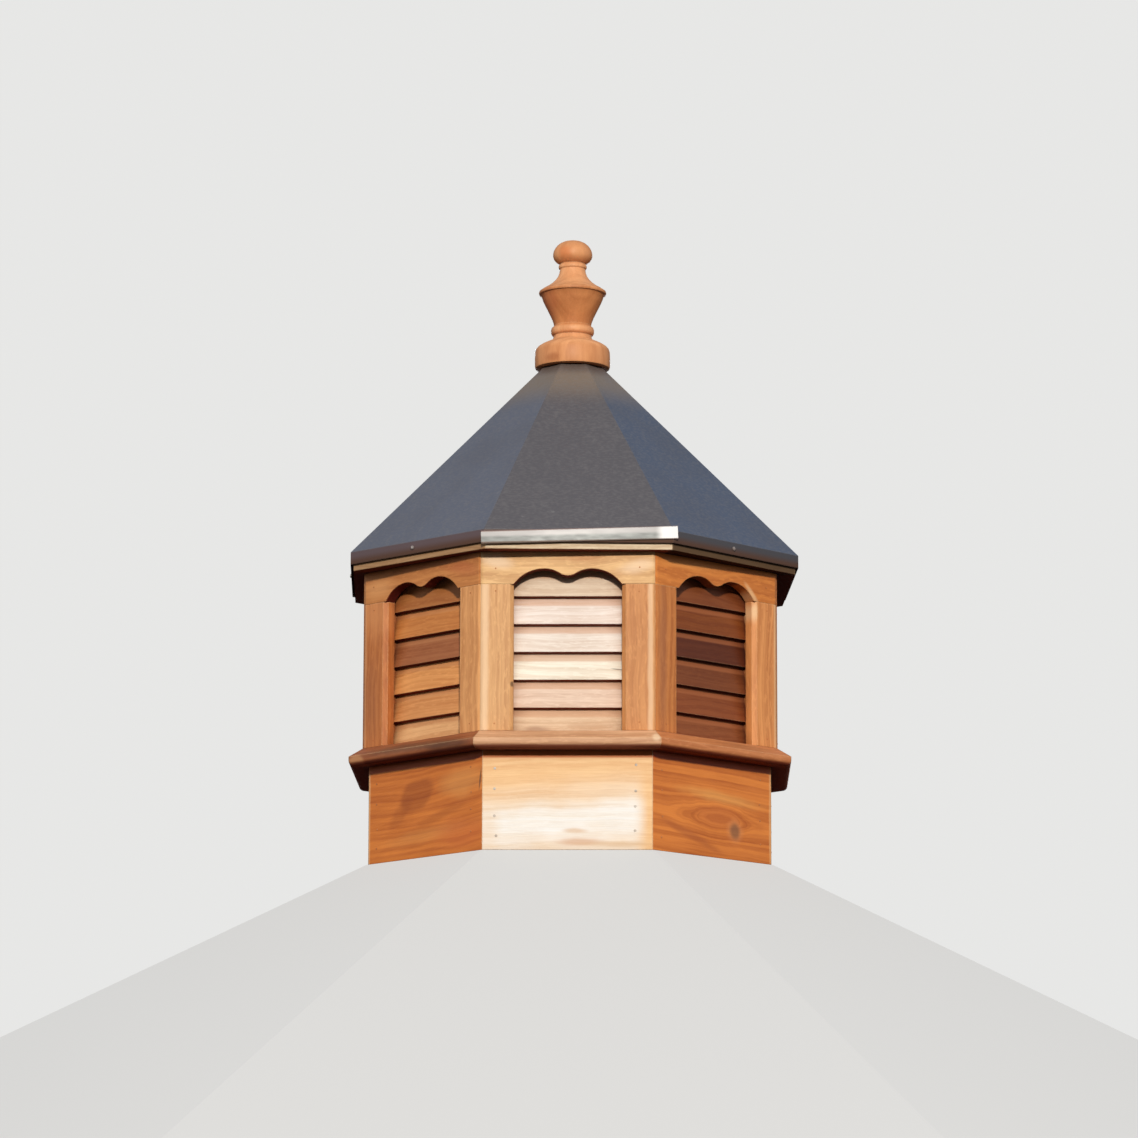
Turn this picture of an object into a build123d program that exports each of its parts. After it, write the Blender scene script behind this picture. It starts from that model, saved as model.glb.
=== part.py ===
"""Octagonal louvred roof cupola in cedar, with a sheet-metal roof and a turned finial.

Millimetres, +Z up. The origin is on the cupola's axis, in the plane of its open bottom rim,
and the front side looks along -Y. The roof sits slightly turned on the box, as the real one does.
"""

import os
from math import ceil, cos, radians, sin, sqrt, tan

from build123d import *

# Plan of the box: eight equal sides
SIDES = 8
SIDE_NAMES = ["front", "front_right", "right", "back_right", "back", "back_left", "left", "front_left"]
side_turn = 360 / SIDES
half_turn = radians(side_turn / 2)

# Inner frame: the corner posts that every board is nailed to
frame_flats = 602
post_depth = 38

# Base boards
base_board_thickness = 18
base_board_height = 156

# Sill
sill_projection = 50
sill_thickness = 29
sill_edge_thickness = 15
sill_round = 9

# Wall boards: stiles and scalloped top rails
wall_board_thickness = 28.5
wall_height = 282
stile_width = 52
rail_end_height = 51
rail_neck = 26.5
hump_spacing = 74
valley_drop = 11
valley_radius = 22
opening_chamfer = 6
corner_ease = 4.5

# Louvre slats
slat_width = 57
slat_thickness = 7.6
slat_tilt = 12.5
slat_pitch = 44
slat_recess = 20
slat_end_cover = 6
slat_foot_drop = 5
slat_clearance = 0.3

# Soffit and roof
roof_turn = 2.8
roof_pitch = 47.1
eave_overhang = 27.75
soffit_thickness = 19
soffit_setback = 4
lip_height = 20
lip_drop = 9
sheet_thickness = 0.8
deck_thickness = 12
joint_gap = 0.4
top_block_flats = 60
top_block_height = 70
finial_seat_flats = 93

# Finial, from its foot up
foot_radius = 61.5
foot_height = 32
foot_ease = 2
shoulder_height = 23.5
bead_radius = 33.2
bead_height = 12
bead_edge = 3.5
waist_radius = 30
belly_height = 26
belly_radius = 44.5
cup_height = 56.5
cup_radius = 54
rim_step = 2.5
rim_height = 6
cove_height = 36
cove_sag = 6.3
neck_radius = 22
collar_radius = 24.5
collar_height = 9
collar_edge = 2.5
knob_radius = 29.7
knob_crown = 26

# Worked out from the sizes above
side_tan = tan(half_turn)
frame_apothem = frame_flats / 2
base_apothem = frame_apothem + base_board_thickness
sill_apothem = frame_apothem + sill_projection
wall_apothem = frame_apothem + wall_board_thickness
sill_top = base_board_height + sill_thickness
wall_top = sill_top + wall_height
rail_bottom = wall_top - rail_end_height
opening_half = wall_apothem * side_tan - stile_width
bay_half = opening_half + slat_end_cover
slat_count = ceil((wall_height - rail_neck) / slat_pitch)
slat_rebate = wall_board_thickness - slat_recess + slat_clearance

eave_apothem = wall_apothem + eave_overhang
deck_apothem = eave_apothem - sheet_thickness
soffit_apothem = deck_apothem - soffit_setback
pitch_tan = tan(radians(roof_pitch))
roof_rotation = roof_turn + side_turn / 2
soffit_top = wall_top + soffit_thickness
lip_bottom = soffit_top - lip_drop
fold_height = lip_bottom + lip_height
apex = fold_height + eave_apothem * pitch_tan
finial_seat = apex - finial_seat_flats / 2 * pitch_tan
deck_top_apex = apex - sheet_thickness / cos(radians(roof_pitch))
deck_under_apex = deck_top_apex - deck_thickness / cos(radians(roof_pitch))

os.makedirs("parts", exist_ok=True)


def side_plan(inner, outer, ease=0, gap=0):
    """Plan of the front side between two distances from the axis, mitred at both ends.

    ease is how far along each face the outside corner is planed off, and gap is the width of an
    open joint between neighbours."""
    back_off = gap / 2 / cos(half_turn)
    shrink = 1 - ease * sin(half_turn) * cos(half_turn) / outer
    right = [(inner * side_tan - back_off, -inner), (outer * side_tan * shrink - back_off, -outer * shrink)]
    if ease:
        right.append((outer * side_tan - ease, -outer))
    return right + [(-x, y) for x, y in reversed(right)]


def across_corner(x, y):
    """The same point on the neighbouring side, mirrored across the right-hand corner."""
    return Vector(-x, y).rotate(Axis.Z, side_turn)


def write(part, name):
    """Labels a finished piece and writes its STEP file."""
    part.label = name
    export_step(part, f"parts/{name}.step")


def write_round(part, name):
    """Writes the front piece and its seven turned copies, each under the name of its side."""
    for step, side in enumerate(SIDE_NAMES):
        write(part.rotate(Axis.Z, step * side_turn), f"{name}_{side}")


# Base boards: mitred at the corners, standing on the roof below
with BuildPart() as base_board:
    with BuildSketch():
        Polygon(*side_plan(frame_apothem, base_apothem), align=None)
    extrude(amount=base_board_height)
write_round(base_board.part, "base_board")


# Sill: level under the wall, then weathered down to a thin outer edge, rounded underneath
with BuildPart() as sill:
    with BuildSketch(Plane.YZ) as sill_section:
        Polygon(
            (-frame_apothem, base_board_height),
            (-sill_apothem, base_board_height),
            (-sill_apothem, base_board_height + sill_edge_thickness),
            (-wall_apothem, sill_top),
            (-frame_apothem, sill_top),
            align=None,
        )
        drip_corner = sill_section.vertices().group_by(Axis.Y)[0].sort_by(Axis.X)[0]
        fillet(drip_corner, radius=sill_round)
    extrude(amount=sill_apothem * side_tan, both=True)
    with BuildSketch(Plane.XY.offset(base_board_height)):
        Polygon(*side_plan(frame_apothem, sill_apothem), align=None)
    extrude(amount=sill_thickness, mode=Mode.INTERSECT)
write_round(sill.part, "sill")


# Corner posts: five-sided, filling each corner behind the boards up to the soffit
with BuildPart() as corner_posts:
    with BuildSketch():
        with PolarLocations(0, SIDES):
            Polygon(
                (frame_apothem * side_tan, -frame_apothem),
                (bay_half, -frame_apothem),
                (bay_half, -frame_apothem + post_depth),
                across_corner(bay_half, -frame_apothem + post_depth),
                across_corner(bay_half, -frame_apothem),
                align=None,
            )
    extrude(amount=wall_top)
write(corner_posts.part, "corner_posts")


# Stiles: one down each side of the opening, chamfered on the edge beside the slats and rebated
# behind it, where the ends of the slats are let in
with BuildPart() as stiles:
    with BuildSketch(Plane.XY.offset(sill_top)) as stile_section:
        eased_side = [(x, y) for x, y in side_plan(frame_apothem, wall_apothem, corner_ease) if x > 0]
        Polygon(
            *eased_side,
            (opening_half, -wall_apothem),
            (opening_half, -frame_apothem - slat_rebate),
            (bay_half, -frame_apothem - slat_rebate),
            (bay_half, -frame_apothem),
            align=None,
        )
        edge_corner = stile_section.vertices().group_by(Axis.Y)[0].sort_by(Axis.X)[0]
        chamfer(edge_corner, length=opening_chamfer)
        mirror(about=Plane.YZ)
    extrude(amount=rail_bottom - sill_top)
write_round(stiles.part, "stiles")


# Top rail: across both stiles, with a lower edge cut to two humps and a valley, and rebated
# behind over the opening so that the top slat passes
hump_top = (hump_spacing / 2, wall_top - rail_neck)
valley_bottom = (0, wall_top - rail_neck - valley_drop)
both_radii = (hump_top[0] ** 2 + valley_drop**2) / (2 * valley_drop)
valley_share = valley_radius / both_radii
bend = (hump_top[0] * valley_share, valley_bottom[1] + valley_drop * valley_share)
with BuildPart() as rail:
    with BuildSketch(Plane.XY.offset(rail_bottom)):
        Polygon(*side_plan(frame_apothem, wall_apothem, corner_ease), align=None)
    extrude(amount=rail_end_height)
    with BuildSketch(Plane.XZ):
        with BuildLine():
            TangentArc(hump_top, (opening_half, rail_bottom), tangent=(1, 0))
            hump_side = TangentArc(hump_top, bend, tangent=(-1, 0))
            TangentArc(bend, valley_bottom, tangent=hump_side % 1)
            Polyline(valley_bottom, (0, rail_bottom), (opening_half, rail_bottom))
        make_face()
        mirror(about=Plane.YZ)
    extrude(amount=wall_apothem, mode=Mode.SUBTRACT)
    with Locations((0, -frame_apothem, rail_bottom)):
        Box(
            2 * bay_half,
            slat_rebate,
            rail_end_height,
            align=(Align.CENTER, Align.MAX, Align.MIN),
            mode=Mode.SUBTRACT,
        )
write_round(rail.part, "top_rail")


# Louvre: steep lapped slats that lean in at the top, the lowest one ripped to stand on the sill
# and any that would reach the soffit ripped below it
tilt = radians(slat_tilt)
rise = Vector(sin(tilt), cos(tilt)) * slat_width
depth = Vector(cos(tilt), -sin(tilt)) * slat_thickness
with BuildPart() as louvre:
    with BuildSketch(Plane.YZ):
        for slat in range(slat_count):
            foot = Vector(slat_recess - wall_apothem, sill_top - slat_foot_drop + slat * slat_pitch)
            Polygon(foot, foot + rise, foot + rise + depth, foot + depth, align=None)
    extrude(amount=bay_half - slat_clearance, both=True)
    split(bisect_by=Plane.XY.offset(sill_top), keep=Keep.TOP)
    split(bisect_by=Plane.XY.offset(wall_top - slat_clearance), keep=Keep.BOTTOM)
write_round(louvre.part, "louvre")


# Soffit: boards that lie on the rails and posts and carry the roof
with BuildPart() as soffit:
    with BuildSketch(Plane.XY.offset(wall_top)):
        with PolarLocations(0, SIDES, start_angle=roof_turn):
            Polygon(*side_plan(frame_apothem - post_depth, soffit_apothem, gap=joint_gap), align=None)
    extrude(amount=soffit_thickness)
write(soffit.part, "soffit")


# Roof deck: eight boards cut level where they stand on the soffit and plumb at the top block
with BuildPart() as deck_board:
    with BuildSketch(Plane.YZ):
        Polygon(
            (0, deck_top_apex),
            (-eave_apothem, deck_top_apex - eave_apothem * pitch_tan),
            (-eave_apothem, deck_under_apex - eave_apothem * pitch_tan),
            (0, deck_under_apex),
            align=None,
        )
    extrude(amount=eave_apothem * side_tan, both=True)
    with BuildSketch(Plane.XY.offset(soffit_top)):
        Polygon(*side_plan(top_block_flats / 2, deck_apothem, gap=joint_gap), align=None)
    extrude(amount=finial_seat - soffit_top, mode=Mode.INTERSECT)
with BuildPart() as roof_deck:
    with PolarLocations(0, SIDES, start_angle=roof_turn):
        add(deck_board.part)
write(roof_deck.part, "roof_deck")


# Top block: the deck boards meet on it and the finial is screwed down to it
with BuildPart() as top_block:
    with BuildSketch(Plane.XY.offset(finial_seat - top_block_height)):
        RegularPolygon(top_block_flats / 2, SIDES, major_radius=False, rotation=roof_rotation)
    extrude(amount=top_block_height)
write(top_block.part, "top_block")


# Roof metal: one folded sheet with a plumb drip lip, open at the top under the finial
with BuildPart() as roof_metal:
    with BuildSketch(Plane.XY.offset(lip_bottom)):
        RegularPolygon(eave_apothem, SIDES, major_radius=False, rotation=roof_rotation)
    extrude(amount=lip_height)
    with BuildSketch(Plane.XY.offset(fold_height)):
        RegularPolygon(eave_apothem, SIDES, major_radius=False, rotation=roof_rotation)
    extrude(amount=finial_seat - fold_height, taper=90 - roof_pitch)
    open_ends = roof_metal.faces().filter_by(Axis.Z).sort_by(Axis.Z)
    offset(amount=-sheet_thickness, openings=[open_ends[0], open_ends[-1]])
write(roof_metal.part, "roof_metal")


# Finial: turned from one block, from its round foot up to a flattened knob
with BuildPart() as finial:
    with BuildSketch(Plane.XZ) as profile:
        shoulder_z = finial_seat + foot_height
        bead_z = shoulder_z + shoulder_height
        waist_z = bead_z + bead_height
        rim_z = waist_z + cup_height
        cove_z = rim_z + rim_height
        neck_z = cove_z + cove_height
        collar_z = neck_z + collar_height
        ball_z = collar_z + sqrt(knob_radius**2 - collar_radius**2)
        crown_radius = sqrt(knob_radius**2 - knob_crown**2)
        with BuildLine():
            Polyline(
                (0, finial_seat),
                (foot_radius, finial_seat),
                (foot_radius, shoulder_z),
                (waist_radius, bead_z),
                (bead_radius, bead_z + bead_edge),
                (bead_radius, waist_z - bead_edge),
                (waist_radius, waist_z),
                (belly_radius, waist_z + belly_height),
                (cup_radius, rim_z),
                (cup_radius + rim_step, rim_z),
                (cup_radius + rim_step, cove_z),
            )
            SagittaArc((cup_radius + rim_step, cove_z), (neck_radius, neck_z), cove_sag)
            Polyline(
                (neck_radius, neck_z),
                (collar_radius, neck_z + collar_edge),
                (collar_radius, collar_z),
            )
            ThreePointArc(
                (collar_radius, collar_z),
                (knob_radius, ball_z),
                (crown_radius, ball_z + knob_crown),
            )
            Polyline((crown_radius, ball_z + knob_crown), (0, ball_z + knob_crown), (0, finial_seat))
        make_face()
        chamfer(profile.vertices().sort_by(Axis.X)[-2:], length=foot_ease)
    revolve(axis=Axis.Z)
write(finial.part, "finial")
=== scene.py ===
"""Finish of the octagonal cedar roof cupola: stained boards, coated roof sheet, nails and flashing.

Metres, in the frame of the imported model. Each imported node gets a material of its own, and the same
few functions make them all. The front side looks along -Y, and each next side is turned by 45
degrees about Z.
"""

import math
import random

import bmesh
import bpy
from mathutils import Matrix, Vector


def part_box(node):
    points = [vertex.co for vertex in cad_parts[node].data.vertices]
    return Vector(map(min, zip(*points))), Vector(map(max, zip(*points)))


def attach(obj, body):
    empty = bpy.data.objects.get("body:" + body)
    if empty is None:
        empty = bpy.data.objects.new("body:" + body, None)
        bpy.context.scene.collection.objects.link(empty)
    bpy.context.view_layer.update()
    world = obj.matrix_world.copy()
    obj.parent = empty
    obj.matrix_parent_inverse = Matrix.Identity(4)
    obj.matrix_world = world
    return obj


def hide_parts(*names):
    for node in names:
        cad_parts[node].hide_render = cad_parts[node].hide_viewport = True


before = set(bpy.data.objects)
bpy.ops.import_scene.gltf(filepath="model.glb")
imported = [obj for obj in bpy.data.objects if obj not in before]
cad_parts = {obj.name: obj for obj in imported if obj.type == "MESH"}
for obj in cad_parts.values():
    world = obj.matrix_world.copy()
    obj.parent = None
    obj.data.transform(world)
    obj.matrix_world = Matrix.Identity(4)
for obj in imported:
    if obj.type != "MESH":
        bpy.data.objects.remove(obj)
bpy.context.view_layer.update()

SIDES = ["front", "front_right", "right", "back_right", "back", "back_left", "left", "front_left"]
SIDE_TURN = math.radians(45)

# Where the boards are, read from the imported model
base_low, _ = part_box("base_board_front")
wall_low, wall_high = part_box("stiles_front")
rail_low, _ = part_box("top_rail_front")
louvre_low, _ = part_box("louvre_front")
metal_low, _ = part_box("roof_metal")
finial_low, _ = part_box("finial")

STILE_WIDTH = 0.052
SLAT_PITCH = 0.044
SLAT_COUNT = 6
SLAT_TILT = math.radians(12.5)
SLAT_THICKNESS = 0.0076
SLAT_GAP = SLAT_PITCH * math.sin(SLAT_TILT) - SLAT_THICKNESS
SLAT_FOOT_DROP = 0.005
LIP_HEIGHT = 0.020
LIP_TOP = metal_low.z + LIP_HEIGHT
EAVE_APOTHEM = 0.35725
ROOF_TURN = math.radians(2.8)

# The photograph's view
PHOTO_SIZE = 1138
FOCAL_PIXELS = 5281.5
SENSOR_WIDTH = 36
VIEW_AZIMUTH = math.radians(1.120)
VIEW_ELEVATION = math.radians(-10.339)
VIEW_ROLL = math.radians(0.149)
VIEW_DISTANCE = 8.5734
VIEW_TARGET = Vector((-0.00478, 0, 0.49983))

# Light: one low soft key near the camera, a cool pale surrounding, and weak lights beside and
# behind. Each light's azimuth and elevation in degrees, power, colour and size.
WARM_LIGHT = (1.0, 0.955, 0.90)
COOL_LIGHT = (0.93, 0.96, 1.0)
LIGHT_DISTANCE = 9.0
LIGHTS = {
    "key_light": (3, 17, 690, WARM_LIGHT, 0.5),
    "left_light": (-82, 12, 110, WARM_LIGHT, 4.0),
    "right_light": (82, 12, 110, WARM_LIGHT, 4.0),
    "back_light": (180, 8, 300, COOL_LIGHT, 3.0),
}
SKY_COLOR = (0.24, 0.27, 0.32, 1)
GROUND_COLOR = (0.030, 0.028, 0.024, 1)
BACKDROP_COLOR = (0.80, 0.80, 0.79, 1)
FLOOR_SEEN = (0.20, 0.197, 0.19, 1)
FLOOR_GLOW = (0.50, 0.497, 0.485, 1)
FLOOR_BOUNCE = (0.05, 0.045, 0.038, 1)

# Corner radius and height of each ring of the floor
FLOOR_RINGS = [
    (0.3485, -0.0004), (3.2, -1.42), (3.7, -1.62), (4.3, -1.74), (5.2, -1.80), (16.0, -1.80),
]


def direction(azimuth, elevation):
    """Unit vector from the object towards a place; azimuth 0 is in front of it."""
    flat = math.cos(elevation)
    return Vector((math.sin(azimuth) * flat, -math.cos(azimuth) * flat, math.sin(elevation)))


def srgb(red, green, blue):
    """A colour given in the 0 to 255 steps of a paint chart, as linear light with alpha."""
    steps = [value / 255 for value in (red, green, blue)]
    linear = [s / 12.92 if s <= 0.04045 else ((s + 0.055) / 1.055) ** 2.4 for s in steps]
    return (*linear, 1)


# Node helpers


def node(tree, kind, inputs=None, **settings):
    """A node with its settings, and its inputs linked or set by socket name or number."""
    made = tree.nodes.new(kind)
    for key, value in settings.items():
        setattr(made, key, value)
    for key, value in (inputs or {}).items():
        if isinstance(value, bpy.types.NodeSocket):
            tree.links.new(value, made.inputs[key])
        else:
            made.inputs[key].default_value = value
    return made


def placed(tree, group, inputs):
    """A node group placed in a material, with its inputs linked or set."""
    return node(tree, "ShaderNodeGroup", inputs, node_tree=group)


def maths(tree, operation, *values, clamp=False):
    """A Math node's output."""
    inputs = dict(enumerate(values))
    return node(tree, "ShaderNodeMath", inputs, operation=operation, use_clamp=clamp).outputs[0]


def times(tree, first, second):
    """Two values multiplied."""
    return maths(tree, "MULTIPLY", first, second)


def scaled(tree, value, factor, offset, clamp=False):
    """A value times a factor, plus an offset."""
    return maths(tree, "MULTIPLY_ADD", value, factor, offset, clamp=clamp)


def inverted(tree, mask):
    """1 where a mask is 0, and 0 where it is 1."""
    return maths(tree, "SUBTRACT", 1.0, mask)


def vectors(tree, operation, *values):
    """A Vector Math node."""
    return node(tree, "ShaderNodeVectorMath", dict(enumerate(values)), operation=operation)


def axes(tree, vector):
    """A vector's X, Y and Z."""
    return tuple(node(tree, "ShaderNodeSeparateXYZ", {0: vector}).outputs)


def here_on(tree):
    """Where a point lies in the part's own frame."""
    return node(tree, "ShaderNodeTexCoord").outputs["Object"]


def rotated(tree, vector, angles):
    """A vector turned about X, Y and Z."""
    turn = {"Vector": vector, "Rotation": angles}
    return node(tree, "ShaderNodeMapping", turn).outputs[0]


def noise(tree, vector, stretch, seed, detail=2.0, roughness=0.5, output=0):
    """Noise with so many cycles to the metre along each axis; seed moves it to another place."""
    inputs = {
        "Vector": vectors(tree, "MULTIPLY", vector, stretch).outputs[0],
        "W": seed,
        "Scale": 1.0,
        "Detail": detail,
        "Roughness": roughness,
    }
    return node(tree, "ShaderNodeTexNoise", inputs, noise_dimensions="4D").outputs[output]


def fade(tree, value, low, high):
    """0 below low, 1 above high, eased between them; high may lie below low."""
    inputs = {"Value": value, "From Min": low, "From Max": high, "To Min": 0.0, "To Max": 1.0}
    return node(tree, "ShaderNodeMapRange", inputs, interpolation_type="SMOOTHSTEP").outputs[0]


def mixed(tree, amount, first, second, blend="MIX"):
    """Two colours mixed."""
    inputs = {0: amount, 6: first, 7: second}
    settings = {"data_type": "RGBA", "blend_type": blend, "clamp_factor": True}
    return node(tree, "ShaderNodeMix", inputs, **settings).outputs[2]


def tinted(tree, color, tint, mask, strength, blend="MIX"):
    """A colour with a tint laid over it, at this strength where the mask is 1."""
    return mixed(tree, times(tree, mask, strength), color, tint, blend)


def steps(tree, value, colors):
    """One colour for each equal step of a value from 0 to 1."""
    made = node(tree, "ShaderNodeValToRGB", {"Fac": value})
    ramp = made.color_ramp
    ramp.interpolation = "CONSTANT"
    while len(ramp.elements) < len(colors):
        ramp.elements.new(0.5)
    for number, (element, color) in enumerate(zip(ramp.elements, colors)):
        element.position = number / len(colors)
        element.color = color
    return made.outputs["Color"]


def new_material(name):
    """A material with only its Principled shader: the material, its tree and that shader."""
    material = bpy.data.materials.new(name)
    material.use_nodes = True
    return material, material.node_tree, material.node_tree.nodes["Principled BSDF"]


# Camera, light and floor


def add_object(name, data):
    """A new object in the scene."""
    made = bpy.data.objects.new(name, data)
    bpy.context.scene.collection.objects.link(made)
    return made


def add_camera():
    """The camera at the photograph's viewing angle."""
    data = bpy.data.cameras.new("camera")
    data.sensor_width = SENSOR_WIDTH
    data.lens = FOCAL_PIXELS / PHOTO_SIZE * SENSOR_WIDTH
    camera = add_object("camera", data)
    back = direction(VIEW_AZIMUTH, VIEW_ELEVATION)
    rolled = Matrix.Rotation(VIEW_ROLL, 4, "Z")
    turned = back.to_track_quat("Z", "Y").to_matrix().to_4x4() @ rolled
    camera.matrix_world = Matrix.Translation(VIEW_TARGET + back * VIEW_DISTANCE) @ turned
    bpy.context.scene.camera = camera


def add_lights():
    """Square soft lights that look at the object."""
    for name, (azimuth, elevation, power, color, size) in LIGHTS.items():
        data = bpy.data.lights.new(name, "AREA")
        data.energy = power
        data.color = color
        data.size = size
        light = add_object(name, data)
        towards = direction(math.radians(azimuth), math.radians(elevation))
        light.location = VIEW_TARGET + towards * LIGHT_DISTANCE
        light.rotation_euler = towards.to_track_quat("Z", "Y").to_euler()


def add_surroundings():
    """Pale backdrop for the camera, and a weaker cool light from all round."""
    world = bpy.data.worlds.new("surroundings")
    bpy.context.scene.world = world
    world.use_nodes = True
    tree = world.node_tree
    tree.nodes.clear()
    backdrop = node(tree, "ShaderNodeBackground", {"Color": BACKDROP_COLOR})
    _, _, height = axes(tree, node(tree, "ShaderNodeTexCoord").outputs["Generated"])
    soft = mixed(tree, fade(tree, height, -0.15, 0.25), GROUND_COLOR, SKY_COLOR)
    fill = node(tree, "ShaderNodeBackground", {"Color": soft})
    path = node(tree, "ShaderNodeLightPath")
    seen = {"Fac": path.outputs["Is Camera Ray"], 1: fill.outputs[0], 2: backdrop.outputs[0]}
    shown = node(tree, "ShaderNodeMixShader", seen)
    node(tree, "ShaderNodeOutputWorld", {"Surface": shown.outputs[0]})


def deselect():
    """Nothing selected, in object mode."""
    if bpy.context.object and bpy.context.object.mode != "OBJECT":
        bpy.ops.object.mode_set(mode="OBJECT")
    bpy.ops.object.select_all(action="DESELECT")


def leave_mesh():
    """Turns the faces of the mesh in edit mode outward, and leaves that mode."""
    bpy.ops.mesh.select_all(action="SELECT")
    bpy.ops.mesh.normals_make_consistent(inside=False)
    bpy.ops.object.mode_set(mode="OBJECT")


def ring_stack(name, corners, rings, turn=0.0, closed=False):
    """A shell drawn out from ring to ring, each given by its corner radius and height."""
    deselect()
    first_radius, first_height = rings[0]
    bpy.ops.mesh.primitive_circle_add(
        vertices=corners, radius=first_radius, fill_type="NGON",
        location=(0, 0, first_height), rotation=(0, 0, turn),
    )
    shell = bpy.context.object
    shell.name = name
    bpy.ops.object.mode_set(mode="EDIT")
    bpy.ops.mesh.select_all(action="SELECT")
    bpy.ops.mesh.region_to_loop()
    for (before, below), (radius, height) in zip(rings, rings[1:]):
        bpy.ops.mesh.extrude_edges_move(TRANSFORM_OT_translate={"value": (0, 0, height - below)})
        bpy.ops.transform.resize(value=(radius / before, radius / before, 1))
    if closed:
        bpy.ops.mesh.edge_face_add()
    leave_mesh()
    bpy.ops.object.transform_apply()
    return shell


def add_floor():
    """A pale eight-sided slope that falls away from the base, since the view looks up from below.

    It throws little light back, so the undersides of sill and soffit stay dark, and its paint glows
    to the camera alone, so it looks pale from every side."""
    floor = ring_stack("floor", len(SIDES), FLOOR_RINGS, turn=SIDE_TURN / 2)
    material, tree, shader = new_material("floor_paint")
    seen = node(tree, "ShaderNodeLightPath").outputs["Is Camera Ray"]
    tree.links.new(mixed(tree, seen, FLOOR_BOUNCE, FLOOR_SEEN), shader.inputs["Base Color"])
    shader.inputs["Roughness"].default_value = 0.9
    shader.inputs["Emission Color"].default_value = FLOOR_GLOW
    tree.links.new(seen, shader.inputs["Emission Strength"])
    floor.data.materials.append(material)


# Effects that several materials use


def new_group(name, vectors_in, values_in, values_out, vectors_out=()):
    """An empty shader node group with its sockets: the tree, and what comes into it."""
    tree = bpy.data.node_groups.new(name, "ShaderNodeTree")
    for labels, way, kind in (
        (vectors_in, "INPUT", "NodeSocketVector"),
        (values_in, "INPUT", "NodeSocketFloat"),
        (values_out, "OUTPUT", "NodeSocketFloat"),
        (vectors_out, "OUTPUT", "NodeSocketVector"),
    ):
        for label in labels:
            tree.interface.new_socket(label, in_out=way, socket_type=kind)
    return tree, tree.nodes.new("NodeGroupInput").outputs


def make_cedar_figure():
    """Growth rings cut lengthwise, streaks, fibre and cloud, on a board whose grain is along X."""
    tree, given = new_group(
        "cedar_figure", ["Vector"],
        ["Seed", "Ring Width", "Heart Depth", "Heart Height", "Wander", "Pull"],
        ["Rings", "Bands", "Streaks", "Fibre", "Cloud", "Flecks"],
    )
    vector, seed = given["Vector"], given["Seed"]
    _, depth, height = axes(tree, vector)

    # Distance from the tree's heart, which wanders along the board, counted in years
    drift = noise(tree, vector, (5.0, 2.0, 2.0), seed, detail=1.5, output="Color")
    _, depth_drift, height_drift = node(tree, "ShaderNodeSeparateColor", {0: drift}).outputs
    offsets = []
    for place, heart, sign, swing in (
        (depth, "Heart Depth", "ADD", depth_drift),
        (height, "Heart Height", "SUBTRACT", height_drift),
    ):
        swing = maths(tree, "SUBTRACT", swing, 0.5)
        away = maths(tree, sign, place, given[heart])
        offsets.append(scaled(tree, swing, given["Wander"], away))
    square = times(tree, offsets[1], offsets[1])
    radius = maths(tree, "SQRT", scaled(tree, offsets[0], offsets[0], square))
    pulled = maths(tree, "ADD", radius, given["Pull"])
    years = maths(tree, "DIVIDE", pulled, given["Ring Width"])
    wobble = noise(tree, vector, (12, 40, 40), seed)
    years = scaled(tree, wobble, 0.9, years)

    # Broad soft bands where good and poor years follow each other, at uneven distances
    slow = scaled(tree, years, 0.62, seed)
    settings = {"W": slow, "Scale": 1.0, "Detail": 1.5}
    bands = node(tree, "ShaderNodeTexNoise", settings, noise_dimensions="1D")

    # The thin dark line of late wood that ends each year, strong in some places and lost in others
    season = maths(tree, "FRACT", years)
    rise = maths(tree, "POWER", season, 2.2)
    drop = inverted(tree, fade(tree, season, 0.86, 1.0))
    lean_year = maths(tree, "FRACT", times(tree, maths(tree, "FLOOR", years), 0.618))
    strength = scaled(tree, lean_year, 0.7, 0.3)
    clear = noise(tree, vector, (7, 22, 22), seed)
    strength = times(tree, strength, fade(tree, clear, 0.36, 0.62))

    flecks = noise(tree, vector, (55, 240, 240), seed, roughness=0.7)
    node(tree, "NodeGroupOutput", {
        "Rings": times(tree, times(tree, rise, drop), strength),
        "Bands": fade(tree, bands.outputs[0], 0.38, 0.62),
        "Streaks": noise(tree, vector, (4, 120, 120), seed, detail=3, roughness=0.6),
        "Fibre": noise(tree, vector, (22, 900, 900), seed, detail=3, roughness=0.65),
        "Cloud": noise(tree, vector, (10, 22, 22), seed, detail=3),
        "Flecks": fade(tree, flecks, 0.50, 0.66),
    })
    return tree


def make_spot():
    """An oval place on a board, turned in its face: its mask, and a bell that bends the rings."""
    tree, given = new_group(
        "spot", ["Vector", "Place", "Stretch"], ["Turn", "Soft", "Seed"], ["Mask", "Bell"],
    )
    vector, soft = given["Vector"], given["Soft"]
    away = vectors(tree, "SUBTRACT", vector, given["Place"])
    turn = {"Vector": away.outputs[0], "Angle": given["Turn"]}
    turned = node(tree, "ShaderNodeVectorRotate", turn, rotation_type="Y_AXIS")
    wide = vectors(tree, "DIVIDE", turned.outputs[0], given["Stretch"])
    warp = noise(tree, vector, (26, 26, 26), given["Seed"], output="Color")
    shift = vectors(tree, "SUBTRACT", warp, (0.5, 0.5, 0.5))
    bent = vectors(tree, "MULTIPLY_ADD", shift.outputs[0], (0.9, 0.9, 0.9), wide.outputs[0])
    flat = vectors(tree, "MULTIPLY", bent.outputs[0], (1, 0, 1))
    distance = vectors(tree, "LENGTH", flat.outputs[0]).outputs["Value"]
    square = times(tree, distance, distance)
    node(tree, "NodeGroupOutput", {
        "Mask": fade(tree, distance, maths(tree, "ADD", 1.0, soft), inverted(tree, soft)),
        "Bell": maths(tree, "EXPONENT", times(tree, square, -0.5)),
    })
    return tree


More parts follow.
